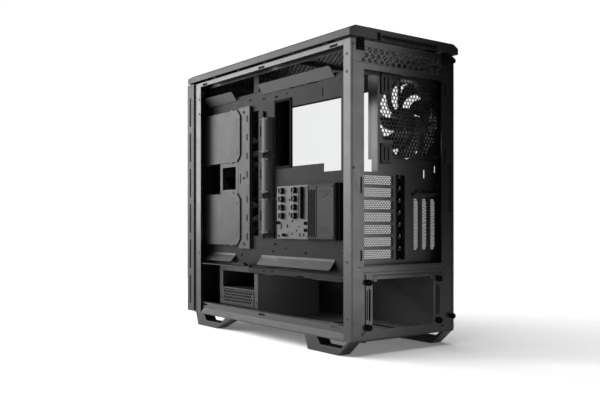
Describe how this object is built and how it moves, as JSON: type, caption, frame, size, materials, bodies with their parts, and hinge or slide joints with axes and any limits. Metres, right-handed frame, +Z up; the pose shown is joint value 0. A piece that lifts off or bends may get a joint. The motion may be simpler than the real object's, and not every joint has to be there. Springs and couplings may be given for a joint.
{
  "type": "desktop computer tower",
  "caption": "Open mid-tower computer case with glass side, lift-off cover and front, fans, expansion slots, drive trays and a power-supply chamber.",
  "frame": {"origin": "on the floor, midway between the case's outermost points across and along", "axes": "+Z up, rear of the case at +Y, open right side at +X, glass side at -X"},
  "size_m": [0.248, 0.544, 0.524],
  "materials": {
    "black_steel": "satin powder coat",
    "black_plastic": "fine matt moulded",
    "foot_plastic": "matt moulded",
    "fan_plastic": "semi-gloss moulded",
    "filter_mesh": "fine woven mesh",
    "circuit_board": "black solder mask",
    "socket_plastic": "glossy moulded",
    "dark_screw": "black oxide",
    "rubber_knob": "knurled",
    "clear_glass": "clear tempered"
  },
  "bodies": {
    "case": {"base_pan": "black_steel", "right_base_rail": "black_steel", "right_top_rail": "black_steel", "left_base_rail": "black_steel", "left_top_rail": "black_steel", "rear_right_foot": "foot_plastic", "front_right_foot": "foot_plastic", "rear_left_foot": "foot_plastic", "front_left_foot": "foot_plastic", "rear_frame": "black_steel", "inner_rear_panel": "black_steel", "slot_cover_1": "black_steel", "slot_cover_2": "black_steel", "slot_cover_3": "black_steel", "slot_cover_4": "black_steel", "slot_cover_5": "black_steel", "slot_cover_6": "black_steel", "slot_cover_7": "black_steel", "rear_screws": "dark_screw", "upright_slot_covers": "black_steel", "upright_slot_clamp": "black_steel", "front_frame": "black_steel", "motherboard_tray": "black_steel", "upper_rear_lip": "black_steel", "upper_front_lip": "black_steel", "lower_rear_lip": "black_steel", "lower_front_lip": "black_steel", "standoffs": "dark_screw", "psu_shroud": "black_steel", "cable_slat": "black_steel", "cable_guides": "black_plastic", "drive_bracket": "black_steel", "upper_ssd_tray": "black_steel", "lower_ssd_tray": "black_steel", "fan_hub_carrier": "black_plastic", "fan_hub_board": "circuit_board", "fan_hub_sockets": "socket_plastic", "fan_hub_cover": "black_plastic", "drive_cage": "black_steel", "psu_bracket": "black_steel", "psu_bracket_screws": "rubber_knob", "rear_fan_frame": "fan_plastic", "lower_front_fan_frame": "fan_plastic", "upper_front_fan_frame": "fan_plastic", "top_shelf": "black_steel", "io_strip": "black_plastic", "panel_thumbscrews": "dark_screw", "cover_clips": "black_plastic"},
    "rear_fan": {"rear_fan_rotor": "fan_plastic"},
    "lower_front_fan": {"lower_front_fan_rotor": "fan_plastic"},
    "upper_front_fan": {"upper_front_fan_rotor": "fan_plastic"},
    "power_button": {"power_button": "black_plastic"},
    "reset_button": {"reset_button": "black_plastic"},
    "fan_speed_slider": {"fan_speed_slider": "black_plastic"},
    "cover": {"top_cover": "black_plastic"},
    "front": {"front_panel": "black_plastic", "front_filter": "filter_mesh"},
    "glass": {"glass_panel": "clear_glass"},
    "caddy": {"drive_caddy": "black_plastic"},
    "floor_filter": {"floor_filter": "filter_mesh"}
  },
  "joints": [
    {"name": "rear_fan_spin", "type": "hinge", "parent": "case", "child": "rear_fan", "pos_m": [-0.027, 0.2333, 0.389], "axis": [0, 1, 0], "continuous": true},
    {"name": "lower_front_fan_spin", "type": "hinge", "parent": "case", "child": "lower_front_fan", "pos_m": [0, -0.2293, 0.196], "axis": [0, 1, 0], "continuous": true},
    {"name": "upper_front_fan_spin", "type": "hinge", "parent": "case", "child": "upper_front_fan", "pos_m": [0, -0.2293, 0.338], "axis": [0, 1, 0], "continuous": true},
    {"name": "power_button_press", "type": "slide", "parent": "case", "child": "power_button", "axis": [0, 0, -1], "range_m": [0, 0.0012], "stiffness_N_per_m": 400},
    {"name": "reset_button_press", "type": "slide", "parent": "case", "child": "reset_button", "axis": [0, 0, -1], "range_m": [0, 0.0012], "stiffness_N_per_m": 400},
    {"name": "fan_speed_slide", "type": "slide", "parent": "case", "child": "fan_speed_slider", "axis": [-1, 0, 0], "range_m": [0, 0.0108]},
    {"name": "cover_lift", "type": "slide", "parent": "case", "child": "cover", "axis": [0, 0, 1], "range_m": [0, 0.06]},
    {"name": "front_pull", "type": "slide", "parent": "case", "child": "front", "axis": [0, -1, 0], "range_m": [0, 0.08]},
    {"name": "glass_pull", "type": "slide", "parent": "case", "child": "glass", "axis": [-1, 0, 0], "range_m": [0, 0.08]},
    {"name": "caddy_slide", "type": "slide", "parent": "case", "child": "caddy", "axis": [1, 0, 0], "range_m": [0, 0.15]},
    {"name": "floor_filter_slide", "type": "slide", "parent": "case", "child": "floor_filter", "axis": [0, 1, 0], "range_m": [0, 0.28]}
  ]
}
